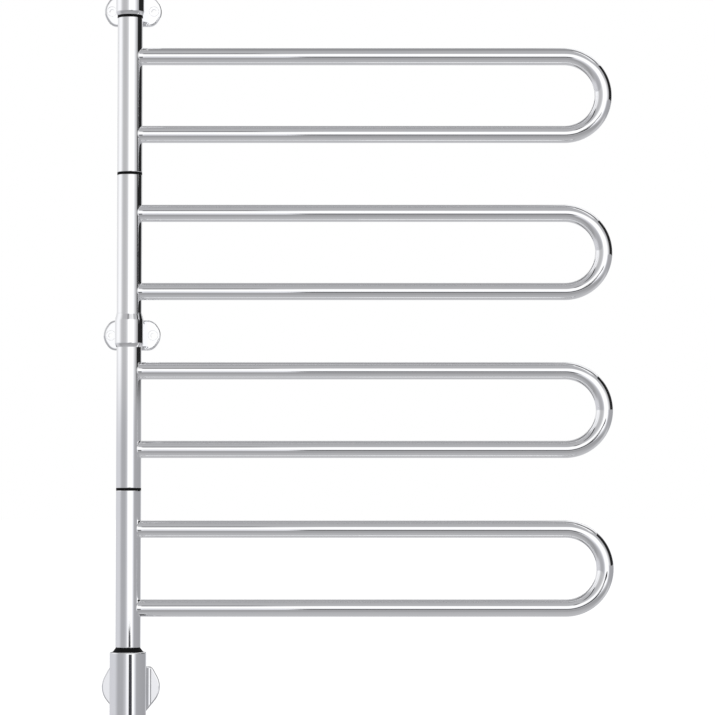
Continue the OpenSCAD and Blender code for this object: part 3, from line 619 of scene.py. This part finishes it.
# Wall plates: corners of each outline as x, z and radius, counterclockwise from the front
PLATE_T, ROLL_STEPS, ROLL_BELOW, ROLL_BEYOND = 0.005, 18, 0.0004, 0.0003
SHIELD_EDGE, SHIELD_DROP = 0.0013, 0.0012
LOZENGE_EDGE, LOZENGE_DROP = 0.0023, 0.0014
SHIELD = [
    (0.0, -0.0205, 0.0152), (0.00735, 0.0, 0.0224), (0.018, 0.0147, 0.006),
    (-0.018, 0.0147, 0.006), (-0.00735, 0.0, 0.0224),
]
LOZENGE = [
    (-0.0164, -0.0049, 0.0106), (0.0164, -0.0049, 0.0106), (0.0141, 0.0, 0.0153),
    (0.0164, 0.0049, 0.0106), (-0.0164, 0.0049, 0.0106), (-0.0141, 0.0, 0.0153),
]
UPPER_HOLE, LOWER_HOLE, SIDE_HOLE = 0.0139, -0.022, 0.0217
PLATE_Z = {"middle_plate": 0.3611, "top_plate": 0.6975}
SEAT_R, SEAT_EDGE, SEAT_DEPTH, HOLE_R = 0.0050, 0.00015, 0.0006, 0.0025
SOCKET_R, SOCKET_TOP, SOCKET_FLOOR = 0.00905, 0.013, 0.0025
SOCKET_EDGE, SOCKET_GRUB = 0.0003, 0.009
STEM_HOLE_R, STEM_SINK_R, STEM_SINK = 0.00255, 0.00505, 0.0025
OVER = 0.001
FRONT = (0, -1, 0)


def plate_outline(corners, inset, arc=14):
    """Points of a plate's outline, each corner's radius less by inset."""
    count = len(corners)
    normals = []
    for i in range(count):
        x0, z0, r0 = corners[i]
        x1, z1, r1 = corners[(i + 1) % count]
        along = atan2(z1 - z0, x1 - x0)
        normals.append(along - pi / 2 + asin((r0 - r1) / hypot(x1 - x0, z1 - z0)))
    points = []
    for i in range(count):
        x, z, r = corners[i]
        low, high = normals[i - 1], normals[i]
        while high < low:
            high += 2 * pi
        for k in range(arc + 1):
            a = low + (high - low) * k / arc
            points.append((x + (r - inset) * cos(a), z + (r - inset) * sin(a)))
    return points


def loose(name, bm):
    """An object that is only worked with, and is gone from the finished scene."""
    bmesh.ops.recalc_face_normals(bm, faces=bm.faces)
    mesh = bpy.data.meshes.new(name)
    bm.to_mesh(mesh)
    bm.free()
    thing = bpy.data.objects.new(name, mesh)
    bpy.context.scene.collection.objects.link(thing)
    return thing


def cutter(name, profile, at, axis, segments=96):
    """A closed solid of revolution about axis, used to cut or join."""
    bm = bmesh.new()
    rings = []
    for radius, height in profile:
        rings.append([
            bm.verts.new((radius * cos(2 * pi * k / segments), radius * sin(2 * pi * k / segments), height))
            for k in range(segments)
        ])
    for first, second in zip(rings, rings[1:]):
        bridge(bm, first, second)
    bm.faces.new(rings[0][::-1])
    bm.faces.new(rings[-1])
    turn = Vector((0, 0, 1)).rotation_difference(Vector(axis)).to_matrix().to_4x4()
    bmesh.ops.transform(bm, matrix=Matrix.Translation(at) @ turn, verts=bm.verts)
    return loose(name, bm)


def combine(base, steps):
    """Joins or cuts base with each (operation, object) in turn and returns a bmesh of the result."""
    for operation, thing in steps:
        modifier = base.modifiers.new(operation, "BOOLEAN")
        modifier.operation, modifier.solver, modifier.object = operation, "EXACT", thing
    bpy.context.view_layer.update()
    graph = bpy.context.evaluated_depsgraph_get()
    bm = bmesh.new()
    bm.from_mesh(base.evaluated_get(graph).to_mesh())
    for thing in [base] + [t for _, t in steps]:
        mesh = thing.data
        bpy.data.objects.remove(thing)
        bpy.data.meshes.remove(mesh)
    bmesh.ops.remove_doubles(bm, verts=bm.verts, dist=WELD)
    return bm


def make_blank(corners, z, edge, drop):
    """A plate with its front edge rolled over, its back on the wall."""
    bm = bmesh.new()
    levels = [(0.0, 0.0), (0.0, PLATE_T - drop - ROLL_BELOW), (0.0, PLATE_T - drop)]
    for i in range(1, ROLL_STEPS + 1):
        a = pi / 2 * i / ROLL_STEPS
        levels.append((edge * (1 - cos(a)), PLATE_T - drop * (1 - sin(a))))
    levels.append((edge + ROLL_BEYOND, PLATE_T))
    rings = [
        [bm.verts.new((x, -t, z + up)) for x, up in plate_outline(corners, inset)] for inset, t in levels
    ]
    for first, second in zip(rings, rings[1:]):
        bridge(bm, first, second)
    bm.faces.new(rings[0])
    bm.faces.new(rings[-1])
    bmesh.ops.remove_doubles(bm, verts=bm.verts, dist=WELD)
    return loose("plate_blank", bm)


def screw_hole(x, z):
    """Cutter for a wall screw's hole, with the shallow seat of its head."""
    seat = PLATE_T - SEAT_DEPTH
    profile = [
        (HOLE_R, -OVER), (HOLE_R, seat), (SEAT_R, seat), (SEAT_R, PLATE_T - SEAT_EDGE),
        (SEAT_R + SEAT_EDGE, PLATE_T), (SEAT_R + SEAT_EDGE, PLATE_T + OVER),
    ]
    return cutter("screw_hole", profile, (x, 0, z), FRONT)


def make_bottom_plate(material):
    """Three-lobed plate with two screw holes and the stem's socket."""
    boss = [
        (SOCKET_R, PLATE_T / 2), (SOCKET_R, SOCKET_TOP - SOCKET_EDGE), (SOCKET_R - SOCKET_EDGE, SOCKET_TOP),
    ]
    bore = [(STEM_BORE_R, SOCKET_FLOOR), (STEM_BORE_R, SOCKET_TOP + OVER)]
    grub = [(GRUB_HOLE_R, 0.0), (GRUB_HOLE_R, SOCKET_R + OVER)]
    bm = combine(make_blank(SHIELD, 0.0, SHIELD_EDGE, SHIELD_DROP), [
        ("UNION", cutter("boss", boss, (0, 0, 0), FRONT)),
        ("DIFFERENCE", screw_hole(0.0, UPPER_HOLE)),
        ("DIFFERENCE", screw_hole(0.0, LOWER_HOLE)),
        ("DIFFERENCE", cutter("bore", bore, (0, 0, 0), FRONT)),
        ("DIFFERENCE", cutter("grub", grub, (0, -SOCKET_GRUB, 0), (0, 0, -1))),
    ])
    return add_piece("bottom_wall_plate", bm, material, "post", ["bottom_plate"], 20.0)


def make_lozenge_plate(name, node, material):
    """Plate with two rounded tips, two screw holes and the stem screw's hole from behind."""
    z = PLATE_Z[node]
    stem = [
        (STEM_SINK_R, -OVER), (STEM_SINK_R, 0.0), (STEM_HOLE_R, STEM_SINK), (STEM_HOLE_R, PLATE_T + OVER),
    ]
    bm = combine(make_blank(LOZENGE, z, LOZENGE_EDGE, LOZENGE_DROP), [
        ("DIFFERENCE", screw_hole(-SIDE_HOLE, z)),
        ("DIFFERENCE", screw_hole(SIDE_HOLE, z)),
        ("DIFFERENCE", cutter("stem_hole", stem, (0, 0, z), FRONT)),
    ])
    return add_piece(name, bm, material, "post", [node], 20.0)


# Housing, its rim standing round the foot of the seal
HOUSING_R, HOUSING_BORE_R, LID_BORE_R = 0.0185, 0.017, 0.01425
HOUSING_TOP, HOUSING_BOTTOM, LID_T = 0.0363, -0.0637, 0.002
RIM_R, RIM_H, RIM_EDGE, RIM_STEPS = 0.01635, 0.0014, 0.0012, 10
LOW_LEVELS, HIGH_LEVELS = (0.0001, 0.0005, 0.0015), (0.002, 0.0005)
BASE_SCREW_R, BASE_SCREW_UP, PAST = 0.00125, 0.003, 0.03


def make_housing(material):
    """Tube with a holed lid, the stem's hole behind and two base screw holes."""
    rim = HOUSING_TOP + RIM_H
    outline = [(HOUSING_BORE_R, HOUSING_BOTTOM), (HOUSING_R - EDGE, HOUSING_BOTTOM)]
    outline += [(HOUSING_R, HOUSING_BOTTOM + level) for level in LOW_LEVELS]
    outline += [(HOUSING_R, rim - RIM_EDGE - level) for level in HIGH_LEVELS]
    for i in range(RIM_STEPS + 1):
        a = pi / 2 * i / RIM_STEPS
        outline.append((HOUSING_R - RIM_EDGE * (1 - cos(a)), rim - RIM_EDGE * (1 - sin(a))))
    outline += [
        (RIM_R, rim), (RIM_R, HOUSING_TOP), (LID_BORE_R, HOUSING_TOP), (LID_BORE_R, HOUSING_TOP - LID_T),
        (HOUSING_BORE_R, HOUSING_TOP - LID_T),
    ]
    bm = bmesh.new()
    lathe(bm, outline, 0.0)
    hole = [(STEM_BORE_R, 0.0), (STEM_BORE_R, PAST)]
    screw = [(BASE_SCREW_R, 0.0), (BASE_SCREW_R, PAST)]
    centre = (0, POST_Y, HOUSING_BOTTOM + BASE_SCREW_UP)
    bm = combine(loose("housing_blank", bm), [
        ("DIFFERENCE", cutter("stem_hole", hole, (0, POST_Y, 0), (0, 1, 0))),
        ("DIFFERENCE", cutter("left_screw", screw, centre, (-1, 0, 0))),
        ("DIFFERENCE", cutter("right_screw", screw, centre, (1, 0, 0))),
    ])
    return add_piece("heater_housing", bm, material, "post", ["housing"])


# Everything in order
make_camera()
make_world()
for lamp in LAMPS:
    make_lamp(*lamp)
make_floor()

chrome = make_metal("chrome", (0.89, 0.895, 0.905), (0.905, 0.905, 0.91), 0.018, 0.02)
steel = make_metal("steel", (0.50, 0.51, 0.53), (0.60, 0.60, 0.62), 0.28, 0.14, 0.15)
brass = make_metal("brass", (0.72, 0.55, 0.24), (0.80, 0.62, 0.30), 0.22, 0.12, 0.1)
nylon = make_plastic("nylon", (0.0035, 0.0035, 0.004), (0.007, 0.007, 0.0075), 0.4, 0.16, 0.12, 2600.0, 0.05)
moulding = make_plastic("moulding", (0.028, 0.029, 0.031), (0.038, 0.039, 0.042), 0.42, 0.14, 0.2, 2200.0)
terminal = make_plastic("terminal", (0.72, 0.68, 0.58), (0.80, 0.76, 0.66), 0.38, 0.12, 0.15, 1800.0)
cutout = make_plastic("cutout", (0.045, 0.05, 0.06), (0.06, 0.066, 0.078), 0.45, 0.1, 0.2, 2000.0)
lens = make_plastic("lens", (0.38, 0.015, 0.010), (0.46, 0.025, 0.016), 0.12, 0.08, 0.05, 1200.0)
cable = make_plastic("cable", (0.42, 0.075, 0.04), (0.50, 0.10, 0.055), 0.5, 0.1, 0.15, 1500.0)
brown = make_plastic("wire_brown", (0.13, 0.04, 0.015), (0.18, 0.06, 0.025), 0.35, 0.1, 0.1, 1500.0)
blue = make_plastic("wire_blue", (0.02, 0.10, 0.38), (0.03, 0.14, 0.46), 0.35, 0.1, 0.1, 1500.0)
green = make_plastic("wire_green", (0.16, 0.38, 0.03), (0.22, 0.46, 0.05), 0.35, 0.1, 0.1, 1500.0)
black = make_plastic("wire_black", (0.008, 0.008, 0.008), (0.014, 0.014, 0.014), 0.35, 0.1, 0.1, 1500.0)

FINISH = {
    "chrome": chrome, "nylon": nylon, "steel": steel, "brass": brass, "moulding": moulding,
    "terminal": terminal, "cutout": cutout, "lens": lens, "cable": cable, "wire_brown": brown,
    "wire_blue": blue, "wire_green": green, "wire_black": black,
}
for row in frame["record"]["subparts"]:
    slots = NODES[row["node"]].data.materials
    slots.clear()
    slots.append(FINISH[row["material_slot"]])

for number in ARM_Z:
    make_sleeve(number, chrome)
    make_tube(number, chrome)
flange = FLANGE_HALF + FLANGE_EXTRA - RUN_GAP
for ring in ("ring_upper", "ring_lower"):
    make_ring(ring, FLUSH_R, -flange, flange, nylon)
make_ring("ring_top", TOP_RING_R, RUN_GAP - FLANGE_HALF, FLANGE_HALF + COLLAR_LIFT, nylon)
make_top_collar(chrome)
make_middle_collar(chrome)
make_housing(chrome)
make_bottom_plate(chrome)
make_lozenge_plate("middle_wall_plate", "middle_plate", chrome)
make_lozenge_plate("top_wall_plate", "top_plate", chrome)

bpy.context.scene.view_settings.view_transform = "Standard"
